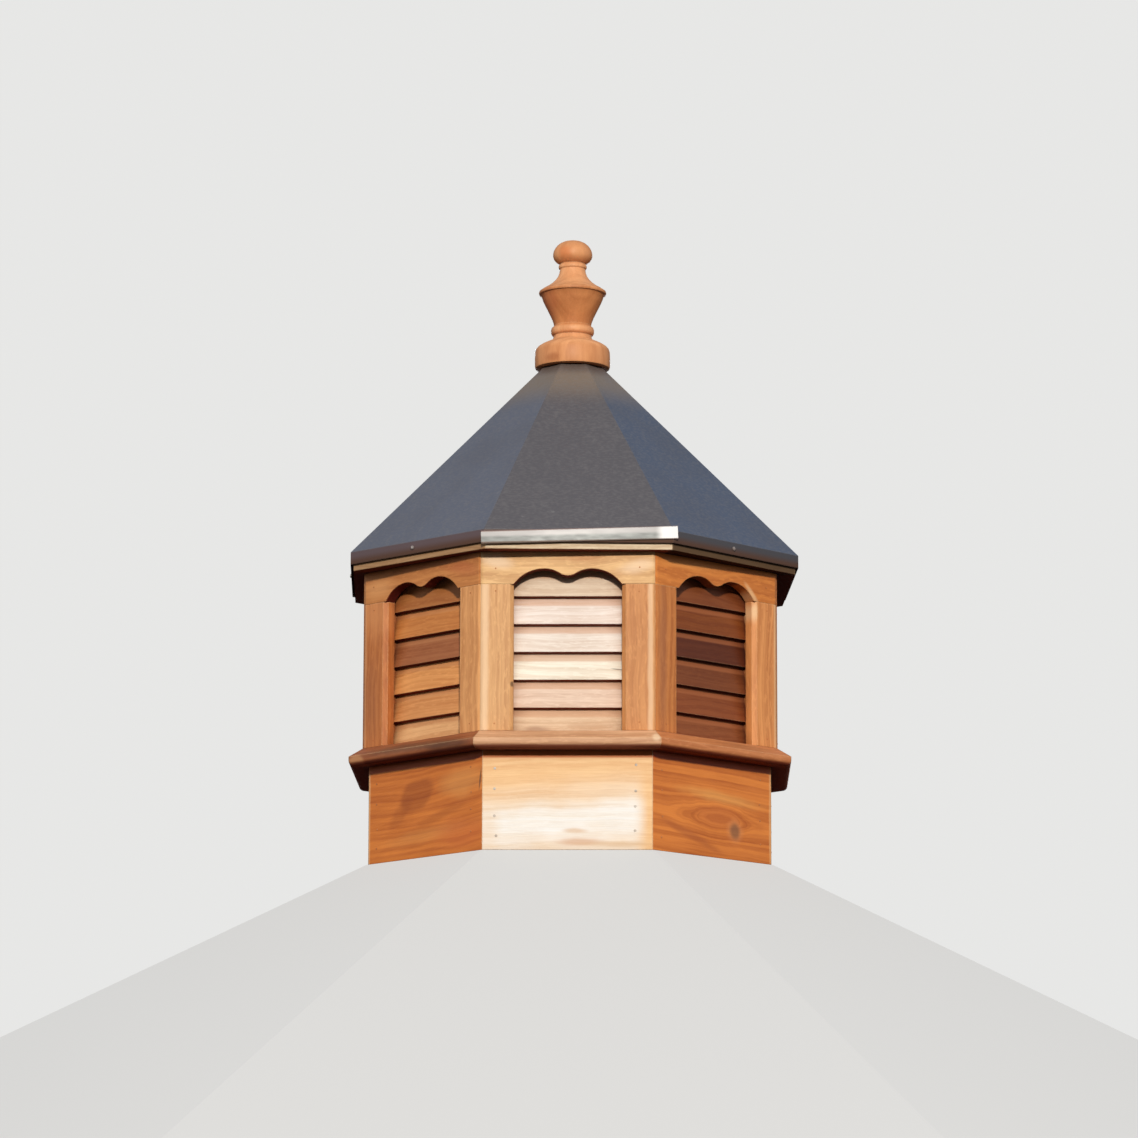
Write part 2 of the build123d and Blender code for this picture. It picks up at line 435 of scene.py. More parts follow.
def make_edges():
    """Worn outside edges, which also carry a painted highlight; painted shade in crevices and on faces
    turned down; and edges rounded in the shading.
    """
    tree, given = new_group(
        "edges", ["Vector"], ["Radius", "Reach"], ["Wear And Highlight", "Crevice", "Underside"], ["Normal"],
    )
    radius = {"Radius": given["Radius"]}
    rounded = node(tree, "ShaderNodeBevel", radius, samples=4).outputs[0]
    flat = node(tree, "ShaderNodeNewGeometry").outputs["Normal"]
    edge = inverted(tree, vectors(tree, "DOT_PRODUCT", rounded, flat).outputs["Value"])
    chipped = noise(tree, given["Vector"], (90, 90, 90), 3.0, detail=3)
    chips = scaled(tree, chipped, 1.2, -0.1)
    # An occlusion test marks the crevices, where painted shade goes
    reach = {"Distance": given["Reach"]}
    hollow = node(tree, "ShaderNodeAmbientOcclusion", reach, samples=6)
    _, _, upward = axes(tree, rounded)
    # The first output is worn edge with painted highlight; the crevice and underside outputs mark
    # painted shade
    node(tree, "NodeGroupOutput", {
        "Wear And Highlight": maths(tree, "MULTIPLY", fade(tree, edge, 0.0, 0.12), chips, clamp=True),
        "Crevice": fade(tree, inverted(tree, hollow.outputs["AO"]), 0.15, 0.85),
        "Underside": fade(tree, upward, -0.22, -0.70),
        "Normal": rounded,
    })
    return tree


def make_runs():
    """Marks left by water that ran down a surface."""
    tree, given = new_group("water_runs", ["Vector"], ["Seed"], ["Runs", "Specks"])
    vector, seed = given["Vector"], given["Seed"]
    narrow = noise(tree, vector, (70, 70, 3), seed, detail=3, roughness=0.6)
    broken = noise(tree, vector, (16, 16, 9), seed)
    specks = noise(tree, vector, (260, 260, 260), seed, detail=1)
    node(tree, "NodeGroupOutput", {
        "Runs": times(tree, fade(tree, narrow, 0.5, 0.75), broken),
        "Specks": fade(tree, specks, 0.66, 0.76),
    })
    return tree


cedar_figure = make_cedar_figure()
spot = make_spot()
edges = make_edges()
water_runs = make_runs()


# Cedar

# Pale edges: wear, also standing for a painted highlight on the arrises
ARRIS_WEAR_AND_HIGHLIGHT = srgb(252, 212, 160)
SOOTY = srgb(96, 70, 52)
HEART_RED = srgb(146, 66, 20)
SATIN_SPECULAR = 0.26

# What each kind of wear, and each painted shade, leaves of the wood's colour
FIBRE_SHADE = (0.55, 0.40, 0.30, 1)
# Painted shade in crevices and on faces turned down; under the sill, unfaded wood and painted shade;
# in the rails' arches, dirt and painted shade
CREVICE_PAINTED_SHADE = (0.26, 0.13, 0.07, 1)
UNDERSIDE_PAINTED_SHADE = (0.22, 0.02, 0.0, 1)
UNDER_SILL_UNFADED_AND_SHADE = (0.58, 0.25, 0.08, 1)
ARCH_DIRT_AND_SHADE = (0.55, 0.26, 0.12, 1)
ARCH_DIRT_AND_SHADE_DARK = (0.26, 0.15, 0.08, 1)
SLAT_LATE_WOOD = (0.68, 0.53, 0.42, 1)
SOFFIT_LATE_WOOD = (0.70, 0.56, 0.46, 1)

# Mean colours of the boards, in paint chart steps. Sides without one draw theirs from the families
BASE_STAINS = {"front_left": (222, 130, 52), "front_right": (223, 132, 55)}
SILL_STAINS = {
    "front": (219, 171, 130), "front_left": (166, 100, 62), "front_right": (214, 140, 88),
}
RAIL_STAINS = {
    "front": (233, 189, 131), "front_left": (208, 138, 76), "front_right": (220, 136, 62),
}
STILE_STAINS = {
    "front": ((226, 175, 118), (214, 149, 90)),
    "front_left": ((201, 125, 67), (231, 168, 107)),
    "front_right": ((203, 129, 68), (227, 154, 91)),
}
# The front slats' near white tones are partly a painted sheen of the light on them
SLAT_STAINS = {
    "front": [(236, 203, 166), (242, 215, 192), (255, 248, 229),
              (248, 237, 224), (251, 239, 228), (233, 211, 184)],
    "front_left": [(242, 187, 129), (234, 164, 100), (242, 170, 100),
                   (174, 108, 66), (218, 143, 76), (191, 123, 66)],
    "front_right": [(146, 82, 42), (143, 76, 37), (129, 70, 35),
                    (98, 45, 20), (137, 72, 28), (136, 74, 36)],
}
SOFFIT_STAINS = [
    (234, 214, 180), (96, 72, 46), (150, 108, 70), (184, 140, 96),
    (196, 148, 100), (190, 144, 98), (176, 132, 88), (184, 146, 104),
]
WOOD_FAMILIES = [(214, 128, 66), (208, 138, 82), (198, 118, 62), (212, 148, 94)]


def mark(x, z, width, height, color, strength, turn=0.0, pull=0.0, soft=0.6):
    """A stain, knot or swirl on a board's face; width and height are half its size."""
    return {
        "spot": {
            "Place": (x, 0, z),
            "Stretch": (width, 1, height),
            "Turn": math.radians(turn),
            "Soft": soft,
        },
        "color": color,
        "strength": strength,
        "pull": pull,
    }


def front_painted_sheen(tree, face, seed):
    """The front base board: orange cream above and at its ends, nearly white below under a painted
    sheen of the light.
    """
    across, _, height = axes(tree, face)
    patches = noise(tree, face, (14, 14, 30), 6.0, detail=3)
    height = scaled(tree, across, -0.09, height)
    height = maths(tree, "SUBTRACT", height, 0.015)
    height = scaled(tree, patches, 0.030, height)
    inside_right = inverted(tree, fade(tree, across, 0.100, 0.128))
    inside_left = inverted(tree, times(tree, fade(tree, across, -0.096, -0.122), 0.6))
    cream = times(tree, fade(tree, height, 0.128, 0.060), inside_right)
    # Painted sheen: the lower middle of the board made nearly white
    white = times(tree, fade(tree, height, 0.085, 0.050), fade(tree, height, -0.004, 0.040))
    white = times(tree, times(tree, white, inside_right), inside_left)
    pale = mixed(tree, cream, srgb(253, 208, 150), srgb(251, 231, 206))
    pale = mixed(tree, white, pale, srgb(254, 252, 247))
    late = mixed(tree, cream, srgb(233, 174, 112), srgb(236, 201, 158))
    late = mixed(tree, white, late, srgb(246, 234, 216))
    return (pale, late), seed


# How the base boards in view are cut from the log, and what marks them
BASE_CUTS = {
    "front": {
        "tones": front_painted_sheen,
        "heart_height": 0.20,
        "flecks": 0.25,
        # Pale edges: wear and painted highlight
        "arris": srgb(255, 232, 200),
        "marks": [
            mark(0.012, 0.030, 0.016, 0.0035, srgb(222, 180, 134), 0.6),
            mark(0.020, 0.013, 0.030, 0.0055, srgb(214, 158, 112), 0.6),
            mark(0.080, 0.009, 0.045, 0.0045, srgb(218, 176, 128), 0.5),
        ],
    },
    "front_left": {
        "heart_height": 0.160,
        "lean": math.radians(6),
        "taper": 0.03,
        "figure": 0.75,
        "marks": [
            mark(-0.024, 0.099, 0.040, 0.025, HEART_RED, 0.46, turn=26, pull=-0.006, soft=0.22),
            mark(-0.056, 0.076, 0.028, 0.012, HEART_RED, 0.28, turn=40, soft=0.45),
            mark(0.030, 0.062, 0.055, 0.007, HEART_RED, 0.30, turn=14),
            mark(0.010, 0.036, 0.090, 0.010, srgb(232, 158, 84), 0.35, turn=5, soft=0.7),
            mark(0.085, 0.112, 0.044, 0.020, srgb(234, 164, 90), 0.45),
            mark(0.085, 0.030, 0.050, 0.022, srgb(202, 96, 46), 0.40),
            mark(-0.010, 0.152, 0.15, 0.006, srgb(238, 172, 120), 0.75, soft=0.5),
            # Pale upright strip at the board's end: worn edge and painted highlight
            mark(-0.132, 0.078, 0.0035, 0.20, srgb(246, 196, 140), 0.65, soft=0.5),
            mark(0.127, 0.110, 0.0016, 0.014, SOOTY, 0.8, turn=-8, soft=0.5),
        ],
    },
    "front_right": {
        "heart_height": 0.062,
        "lean": math.radians(-2),
        "taper": 0.01,
        "wander": 0.018,
        "figure": 1.0,
        "marks": [
            mark(0.012, 0.065, 0.046, 0.017, srgb(196, 104, 48), 0.35,
                 turn=-4, pull=-0.034, soft=0.35),
            mark(0.020, 0.096, 0.080, 0.008, srgb(240, 172, 92), 0.50, turn=-4, soft=0.7),
            mark(0.050, 0.046, 0.016, 0.017, srgb(228, 150, 92), 0.45, soft=0.5),
            mark(0.050, 0.046, 0.0105, 0.0115, SOOTY, 0.62, soft=0.5),
            mark(-0.052, 0.032, 0.062, 0.006, srgb(168, 84, 36), 0.5, turn=-18),
            # Pale upright strip at the board's end: worn edge and painted highlight
            mark(0.131, 0.078, 0.0035, 0.20, srgb(244, 186, 126), 0.60, soft=0.5),
        ],
    },
}
SILL_MARKS = {
    "front": [mark(0.138, 0.172, 0.006, 0.006, srgb(250, 220, 180), 0.6, soft=0.5)],
    "front_left": [
        mark(-0.128, 0.160, 0.016, 0.012, srgb(216, 158, 108), 0.6, soft=0.3),
        mark(-0.010, 0.172, 0.090, 0.007, SOOTY, 0.60),
        mark(0.090, 0.166, 0.050, 0.007, srgb(60, 44, 34), 0.60),
    ],
    "front_right": [mark(0.050, 0.178, 0.050, 0.006, SOOTY, 0.25)],
}
RAIL_MARKS = {
    "front": [
        mark(-0.112, 0.453, 0.022, 0.010, srgb(250, 220, 184), 0.65, turn=-10, soft=0.7),
        mark(0.108, 0.444, 0.026, 0.009, srgb(250, 218, 182), 0.60, turn=8, soft=0.7),
        mark(0.020, 0.458, 0.030, 0.006, srgb(206, 140, 88), 0.45, soft=0.7),
    ],
    "front_left": [
        mark(0.095, 0.446, 0.036, 0.009, srgb(196, 108, 62), 0.5, turn=-8, soft=0.7),
        mark(-0.100, 0.440, 0.030, 0.016, srgb(236, 170, 108), 0.5, soft=0.7),
    ],
    "front_right": [
        # A painted highlight along the right-hand curve of the arch
        mark(0.080, 0.426, 0.020, 0.004, srgb(255, 214, 160), 0.5, turn=-45),
        mark(-0.060, 0.456, 0.060, 0.006, srgb(240, 160, 84), 0.5, soft=0.7),
    ],
}
# The long pale upright strips at the corners are painted highlights on the rounded corner edges
STILE_MARKS = {
    "front": [
        mark(-0.130, 0.300, 0.0065, 0.40, srgb(250, 216, 176), 0.55),
        mark(0.129, 0.290, 0.0040, 0.40, srgb(252, 214, 170), 0.55),
        mark(-0.0865, 0.259, 0.0025, 0.004, SOOTY, 0.8, soft=0.5),
    ],
    "front_left": [
        mark(-0.132, 0.300, 0.0030, 0.40, srgb(236, 176, 124), 0.4),
        mark(-0.110, 0.400, 0.026, 0.036, srgb(232, 158, 100), 0.5, soft=0.7),
        mark(-0.118, 0.260, 0.016, 0.060, srgb(150, 90, 58), 0.35, soft=0.7),
    ],
    "front_right": [
        mark(0.133, 0.300, 0.0035, 0.40, srgb(250, 200, 146), 0.6),
        mark(-0.120, 0.300, 0.008, 0.120, srgb(150, 98, 74), 0.35, soft=0.7),
        mark(0.088, 0.400, 0.004, 0.014, srgb(255, 220, 170), 0.6, soft=0.7),
    ],
}
SLAT_MARKS = {
    "front": [
        mark(0.078, 0.285, 0.009, 0.0009, SOOTY, 0.7, turn=-6, soft=0.5),
        mark(-0.048, 0.189, 0.016, 0.006, srgb(150, 104, 76), 0.5),
        mark(0.030, 0.196, 0.030, 0.005, srgb(196, 150, 110), 0.4),
    ],
}
FINIAL_MARKS = [
    mark(-0.030, 0.842, 0.010, 0.007, HEART_RED, 0.45),
    mark(-0.012, 1.022, 0.010, 0.010, srgb(220, 116, 56), 0.45),
    mark(-0.040, 0.935, 0.016, 0.022, srgb(196, 100, 62), 0.40),
]


def round_roof(tree):
    """How far round the turned roof a point is, 0 to 1 from the front panel to the right."""
    x, y, _ = axes(tree, rotated(tree, here_on(tree), (0, 0, SIDE_TURN / 2 - ROOF_TURN)))
    angle = maths(tree, "ARCTAN2", x, times(tree, y, -1.0))
    return maths(tree, "FRACT", maths(tree, "ADD", maths(tree, "DIVIDE", angle, math.tau), 1.0))


def panel_number(tree):
    """Which of the roof's eight panels a point is on."""
    return maths(tree, "FLOOR", times(tree, round_roof(tree), len(SIDES)))


def by_panel(tree, colors):
    """One colour for each of the roof's eight boards or panels, from the front to the right."""
    return steps(tree, round_roof(tree), [srgb(*color) for color in colors])


def board_face(tree, side):
    """The board's own axes: X along it, -Y out of its face, Z up.

    The roof's boards share a node, so each is turned by the number of its panel."""
    if side == "roof":
        angle = scaled(tree, panel_number(tree), -SIDE_TURN, -ROOF_TURN)
        turn = {"Vector": here_on(tree), "Angle": angle}
        return node(tree, "ShaderNodeVectorRotate", turn, rotation_type="Z_AXIS").outputs[0]
    return rotated(tree, here_on(tree), (0, 0, -SIDES.index(side) * SIDE_TURN))


def along_grain(tree, face, upright, lean, taper):
    """Axes with X along the grain, which may lean in the face and run out of it."""
    if upright:
        x, y, z = axes(tree, face)
        face = node(tree, "ShaderNodeCombineXYZ", {"X": z, "Y": y, "Z": x}).outputs[0]
    return rotated(tree, face, (0, lean, taper))


def cedar(name, side, tones, seed, ring_width, heart_depth, heart_height=0.0, upright=False,
          wander=0.04, lean=0.0, taper=0.0, figure=0.7, gloss=0.42, underside=0.95, flecks=0.5,
          arris=ARRIS_WEAR_AND_HIGHLIGHT, marks=(), shelter=None):
    """Stained cedar for one board or set of boards.

    tones is a pair of colours, for early and late wood, or a function that gives such a pair and a
    seed to each board of the node. The recolouring function, if given, changes parts of the wood:
    unfaded wood and painted shade under the sill, dirt and painted shade in the rails' arches, and a
    strip of its own tone on each slat. underside sets how strong the painted shade on faces turned
    down is."""
    material, tree, shader = new_material(name)
    face = board_face(tree, side)
    if callable(tones):
        tones, seed = tones(tree, face, seed)
    pale, late = tones

    pull, masks = 0.0, []
    for stain in marks:
        made = placed(tree, spot, {"Vector": face, "Seed": seed, **stain["spot"]})
        pull = scaled(tree, made.outputs["Bell"], stain["pull"], pull)
        masks.append(made.outputs["Mask"])

    wood = placed(tree, cedar_figure, {
        "Vector": along_grain(tree, face, upright, lean, taper),
        "Seed": seed,
        "Ring Width": ring_width,
        "Heart Depth": heart_depth,
        "Heart Height": heart_height,
        "Wander": wander,
        "Pull": pull,
    }).outputs
    share = scaled(tree, wood["Streaks"], 0.8, -0.32)
    share = scaled(tree, wood["Bands"], 0.50 * figure, share)
    share = scaled(tree, wood["Rings"], 0.65 * figure, share, clamp=True)
    color = mixed(tree, share, pale, late)
    color = tinted(tree, color, late, fade(tree, wood["Cloud"], 0.36, 0.68), 0.28)
    hairs = fade(tree, wood["Fibre"], 0.35, 0.70)
    color = tinted(tree, color, FIBRE_SHADE, hairs, 0.16, "MULTIPLY")
    color = tinted(tree, color, pale, wood["Flecks"], flecks)
    for mask, stain in zip(masks, marks):
        color = tinted(tree, color, stain["color"], mask, stain["strength"])
    if shelter:
        color = shelter(tree, face, color)

    edge_and_shade = placed(tree, edges, {"Vector": face, "Radius": 0.0022, "Reach": 0.03}).outputs
    # Pale worn edges, with a painted highlight on them
    color = tinted(tree, color, arris, edge_and_shade["Wear And Highlight"], 0.75)
    # Painted shade in crevices and on faces turned down
    crevice_shade = times(tree, edge_and_shade["Crevice"], 0.7)
    color = mixed(tree, crevice_shade, color, CREVICE_PAINTED_SHADE, "MULTIPLY")
    underside_shade = times(tree, edge_and_shade["Underside"], underside)
    color = mixed(tree, underside_shade, color, UNDERSIDE_PAINTED_SHADE, "MULTIPLY")

    relief = scaled(tree, wood["Rings"], -0.6, wood["Fibre"])
    rough = scaled(tree, wood["Fibre"], 0.22, gloss)
    shaded_parts = maths(tree, "MAXIMUM", underside_shade, crevice_shade)
    rough = scaled(tree, shaded_parts, 0.4, rough, clamp=True)
    surface(tree, shader, color, rough, relief, 0.35, 0.0006, edge_and_shade["Normal"])
    shader.inputs["Specular IOR Level"].default_value = SATIN_SPECULAR
    return material


def surface(tree, shader, color, rough, relief, strength, distance, normal=None):
    """Links a colour, a roughness and a relief to a material's shader."""
    inputs = {"Height": relief, "Strength": strength, "Distance": distance}
    if normal:
        inputs["Normal"] = normal
    bump = node(tree, "ShaderNodeBump", inputs)
    tree.links.new(color, shader.inputs["Base Color"])
    tree.links.new(rough, shader.inputs["Roughness"])
    tree.links.new(bump.outputs[0], shader.inputs["Normal"])


def dress(name, material):
    """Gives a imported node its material."""
    shown = bpy.data.objects[name]
    shown.data.materials.clear()
    shown.data.materials.append(material)


def board(name, side, tones, **cut):
    """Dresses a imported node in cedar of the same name."""
    dress(name, cedar(name, side, tones, **cut))


def stained(red, green, blue, contrast=1.0):
    """Early and late wood of a board whose mean colour is given in paint chart steps."""
    mean = srgb(red, green, blue)[:3]
    pale = [value * (1 + 0.14 * contrast) for value in mean]
    late = [value * (1 - depth * contrast) for value, depth in zip(mean, (0.34, 0.50, 0.60))]
    return (*pale, 1), (*late, 1)


def varied(chance, families, amount=8):
    """One of the families' colours, a little lighter or darker, as no two boards are alike."""
    red, green, blue = chance.choice(families)
    light = chance.uniform(-amount, amount)
    warm = chance.uniform(-amount, amount) / 2
    return red + light, green + light - warm, blue + light - 2 * warm


def under_sill(tree, face, wood_color):
    """The strip of a base board just under the sill, made deep red brown: unfaded wood and painted
    shade of the sill.
    """
    _, _, height = axes(tree, face)
    top = fade(tree, height, 0.1425, 0.1460)
    return tinted(tree, wood_color, UNDER_SILL_UNFADED_AND_SHADE, top, 0.95, "MULTIPLY")


def base_boards(chance):
    """One wide board to each side of the base, flat sawn, with its own figure."""
    for side in SIDES:
        stain = BASE_STAINS.get(side) or varied(chance, WOOD_FAMILIES[:3])
        pair = stained(*stain, contrast=1.1)
        cut = BASE_CUTS.get(side)
        if cut is None:
            x, z = chance.uniform(-0.08, 0.08), chance.uniform(0.04, 0.12)
            cut = {
                "heart_height": z,
                "lean": math.radians(chance.uniform(-6, 6)),
                "taper": chance.uniform(-0.08, 0.08),
                "figure": 1.0,
                "marks": [mark(x, z, 0.034, 0.016, pair[1], 0.3,
                               turn=chance.uniform(-12, 12), pull=-0.026, soft=0.35)],
            }
        board(
            f"base_board_{side}", side, seed=chance.uniform(0, 50),
            ring_width=chance.uniform(0.0070, 0.0085), heart_depth=chance.uniform(0.29, 0.31),
            gloss=0.36, shelter=under_sill, **{"tones": pair, "flecks": 0.12, **cut},
        )


def sills(chance):
    """The sill boards, bleached on their weathered slope."""
    for side in SIDES:
        stain = SILL_STAINS.get(side) or varied(chance, WOOD_FAMILIES)
        board(
            f"sill_{side}", side, stained(*stain), seed=chance.uniform(0, 50),
            ring_width=0.006, heart_depth=0.36, heart_height=0.12,
            underside=0.86, marks=SILL_MARKS.get(side, ()),
        )


def stile_tones(left, right):
    """Colours for the left and the right stile of one side."""

    def tones(tree, face, seed):
        across, _, _ = axes(tree, face)
        to_right = maths(tree, "GREATER_THAN", across, 0.0)
        pair = [mixed(tree, to_right, *colors) for colors in zip(left, right)]
        return pair, scaled(tree, to_right, 7.0, seed)

    return tones


def sawn_edge(side):
    """The rail's scalloped edge, its cut faces darkened with dirt and painted shade under the arch; on
    front_right not along the right-hand curve, which stays lit.
    """

    def shelter(tree, face, wood_color):
        across, depth, _ = axes(tree, face)
        behind = fade(tree, depth, wall_low.y + 0.0008, wall_low.y + 0.0035)
        if side != "front_right":
            return tinted(tree, wood_color, ARCH_DIRT_AND_SHADE, behind, 0.9, "MULTIPLY")
        arch_shaded_part = times(tree, behind, inverted(tree, fade(tree, across, 0.046, 0.056)))
        return tinted(tree, wood_color, ARCH_DIRT_AND_SHADE_DARK, arch_shaded_part, 0.9, "MULTIPLY")

    return shelter


def walls(chance):
    """Stiles with upright grain and rails with level grain."""
    for side in SIDES:
        pair = STILE_STAINS.get(side) or [varied(chance, WOOD_FAMILIES) for _ in range(2)]
        board(
            f"stiles_{side}", side, stile_tones(*(stained(*color) for color in pair)),
            seed=chance.uniform(0, 50), upright=True, ring_width=0.006, heart_depth=0.345,
            heart_height=chance.uniform(-0.1, 0.1), taper=chance.uniform(-0.05, 0.05),
            figure=0.8, marks=STILE_MARKS.get(side, ()),
        )
        stain = RAIL_STAINS.get(side) or varied(chance, WOOD_FAMILIES)
        board(
            f"top_rail_{side}", side, stained(*stain), seed=chance.uniform(0, 50),
            ring_width=0.007, heart_depth=0.335, heart_height=chance.uniform(0.42, 0.47),
            taper=chance.uniform(-0.08, 0.08), wander=0.05, figure=0.8,
            # The right-hand rail gets little painted shade on faces turned down, so its lit arch curve
            # stays light
            underside=0.15 if side == "front_right" else 0.95,
            marks=RAIL_MARKS.get(side, ()), shelter=sawn_edge(side),
        )


def slat_place(tree, vector):
    """Which slat a point is on, counted from the lowest, and how far it is from its foot."""
    _, depth, height = axes(tree, vector)
    lean, rise = math.sin(SLAT_TILT), math.cos(SLAT_TILT)
    foot = louvre_low.z - SLAT_FOOT_DROP
    inner = (louvre_low.y + SLAT_THICKNESS / rise) * rise - foot * lean + SLAT_GAP / 2
    across = scaled(tree, height, -lean, times(tree, depth, rise))
    count = maths(tree, "DIVIDE", maths(tree, "SUBTRACT", inner, across), SLAT_PITCH * lean)
    number = maths(tree, "FLOOR", count)
    along = scaled(tree, height, rise, times(tree, depth, lean))
    lowest = louvre_low.y * lean + foot * rise
    start = scaled(tree, number, SLAT_PITCH * rise, lowest)
    return number, maths(tree, "SUBTRACT", along, start)


def slat_tones(colors):
    """A colour and another figure for each slat, from the lowest up."""

    def tones(tree, face, seed):
        number, _ = slat_place(tree, face)
        share = maths(tree, "DIVIDE", maths(tree, "ADD", number, 0.5), SLAT_COUNT)
        pale = steps(tree, share, [srgb(*color) for color in colors])
        late = mixed(tree, 1.0, pale, SLAT_LATE_WOOD, "MULTIPLY")
        return (pale, late), scaled(tree, number, 3.7, seed)

    return tones


def slat_shelter(color, strength, start):
    """A tone of its own on the strip of each slat just under the slat above."""

    def shelter(tree, face, wood_color):
        _, height = slat_place(tree, face)
        covered = fade(tree, height, start, start + 0.0035)
        return tinted(tree, wood_color, color, covered, strength)

    return shelter


# In front the strip is darker than the pale slats; at the right it is lighter, a painted light on each
# slat's upper edge
SLAT_TOP_STRIPS = {
    "front": slat_shelter(srgb(214, 160, 120), 0.6, 0.0290),
    "front_right": slat_shelter(srgb(176, 104, 62), 0.55, 0.0315),
}
OTHER_SLAT_TOP_STRIP = slat_shelter(srgb(206, 140, 92), 0.4, 0.0315)


def louvres(chance):
    """Six slats to a side: near white in front, partly a painted sheen, mixed at the left, dark
    heartwood at the right.
    """
    for side in SIDES:
        colors = SLAT_STAINS.get(side)
        if colors is None:
            colors = [varied(chance, WOOD_FAMILIES, 14) for _ in range(SLAT_COUNT)]
        board(
            f"louvre_{side}", side, slat_tones(colors), seed=chance.uniform(0, 50),
            ring_width=0.0045, heart_depth=0.33, heart_height=chance.uniform(0.1, 0.5),
            taper=chance.uniform(-0.03, 0.03), figure=0.5 if side == "front" else 0.8, gloss=0.40,
            marks=SLAT_MARKS.get(side, ()), shelter=SLAT_TOP_STRIPS.get(side, OTHER_SLAT_TOP_STRIP),
        )


def soffit_tones(tree, face, seed):
    """A tone and a figure for each soffit board."""
    pale = by_panel(tree, SOFFIT_STAINS)
    late = mixed(tree, 1.0, pale, SOFFIT_LATE_WOOD, "MULTIPLY")
    return (pale, late), scaled(tree, panel_number(tree), 2.9, seed)


def inner_woods():
    """Posts, soffit, block and plywood, bare or stained, seen from below."""
    dress("corner_posts", cedar(
        "post_wood", "front", (srgb(196, 152, 104), srgb(140, 96, 58)), 4.0, upright=True,
        ring_width=0.004, heart_depth=0.1, wander=0.03, gloss=0.6,
    ))
    dress("top_block", cedar(
        "block_wood", "front", (srgb(200, 158, 110), srgb(146, 100, 60)), 9.0, upright=True,
        ring_width=0.004, heart_depth=0.02, wander=0.02, gloss=0.6,
    ))
    dress("soffit", cedar(
        "soffit_wood", "roof", soffit_tones, 12.0,
        ring_width=0.006, heart_depth=0.36, heart_height=0.40, wander=0.05, gloss=0.5,
    ))
    dress("roof_deck", cedar(
        "plywood", "roof", (srgb(206, 168, 118), srgb(168, 122, 76)), 21.0,
        ring_width=0.012, heart_depth=0.9, wander=0.3, gloss=0.6,
    ))


# The finial

# Its turned profile in millimetres, radius and height above its seat, from the foot up
FOOT = [(57.5, 0.0), (60.4, 0.8), (61.3, 3.5), (61.5, 16.0), (61.0, 28.0), (59.6, 32.4)]
SHOULDER = [(56.4, 36.2), (51.0, 39.8), (45.0, 42.8), (38.8, 45.4), (34.0, 47.8), (31.8, 50.8)]
BEAD = [(31.0, 55.2), (33.6, 56.8), (35.2, 60.4), (35.3, 64.6), (34.2, 68.2), (31.2, 70.4)]
CUP = [(30.2, 72.2), (31.4, 78.0), (34.8, 86.5), (39.6, 96.5), (44.4, 106.0), (48.6, 115.0),
       (51.2, 123.6)]
RIM = [(51.8, 124.2), (54.4, 124.8), (55.2, 127.0), (54.6, 129.4)]
COVE = [(48.4, 133.8), (40.8, 138.2), (33.8, 143.4), (28.0, 149.2), (24.0, 155.0), (21.8, 161.0),
        (21.0, 166.2)]
COLLAR = [(20.9, 167.4), (22.6, 168.6), (23.2, 171.2), (22.6, 173.8), (21.0, 175.4)]
KNOB = [(20.8, 176.4), (24.4, 178.0), (28.2, 181.0), (31.0, 185.0), (32.2, 189.2), (32.1, 193.6),
        (31.0, 198.0), (28.7, 202.6), (25.4, 206.8), (21.0, 210.4), (15.4, 213.2), (9.0, 214.9),
        (2.8, 215.5)]


def finial_tones(tree, face, seed):
    """The finial's stain, taken up more by the cup than by foot, bead, neck and knob."""
    _, _, height = axes(tree, face)
    cup = times(tree, fade(tree, height, 0.896, 0.904), fade(tree, height, 0.968, 0.955))
    foot = times(tree, fade(tree, height, 0.868, 0.858), 0.5)
    knob = times(tree, fade(tree, height, 1.004, 1.012), 0.4)
    deep = maths(tree, "MAXIMUM", maths(tree, "MAXIMUM", cup, foot), knob)
    light, dark = stained(236, 171, 118, 0.8), stained(211, 138, 83, 0.8)
    return [mixed(tree, deep, *colors) for colors in zip(light, dark)], seed


def add_finial():
    """The finial turned anew over its CAD solid, with softer curves and a flatter knob."""
    profile = FOOT + SHOULDER + BEAD + CUP + RIM + COVE + COLLAR + KNOB
    rings = [(radius / 1000, finial_low.z + height / 1000) for radius, height in profile]
    finial = ring_stack("turned_finial", 72, rings, closed=True)
    bpy.ops.object.shade_smooth_by_angle(angle=math.radians(38))
    material = cedar(
        "finial_wood", "front", finial_tones, 31.0, upright=True,
        ring_width=0.009, heart_depth=0.30, heart_height=0.10, wander=0.03, figure=0.6,
        gloss=0.46, underside=0.10, flecks=0.3, arris=srgb(255, 214, 160), marks=FINIAL_MARKS,
    )
    shader = material.node_tree.nodes["Principled BSDF"]
    shader.inputs["Coat Weight"].default_value = 0.12
    shader.inputs["Coat Roughness"].default_value = 0.45
    finial.data.materials.append(material)
    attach(finial, "root")
    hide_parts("finial")


# Roof sheet and bare metal

# Each roof panel's tone, and that of the drip lip below it, from the front to the right. The panels'
# blue tints are painted reflection of the sky.
PANEL_TONES_WITH_PAINTED_SKY = [
    (90, 87, 90), (75, 86, 107), (76, 86, 103), (84, 89, 101),
    (90, 91, 98), (90, 94, 104), (102, 107, 116), (96, 100, 113),
]
LIP_TONES = [
    (98, 80, 72), (70, 68, 72), (72, 68, 68), (76, 68, 66),
    (82, 70, 66), (84, 72, 70), (92, 77, 78), (96, 78, 80),
]


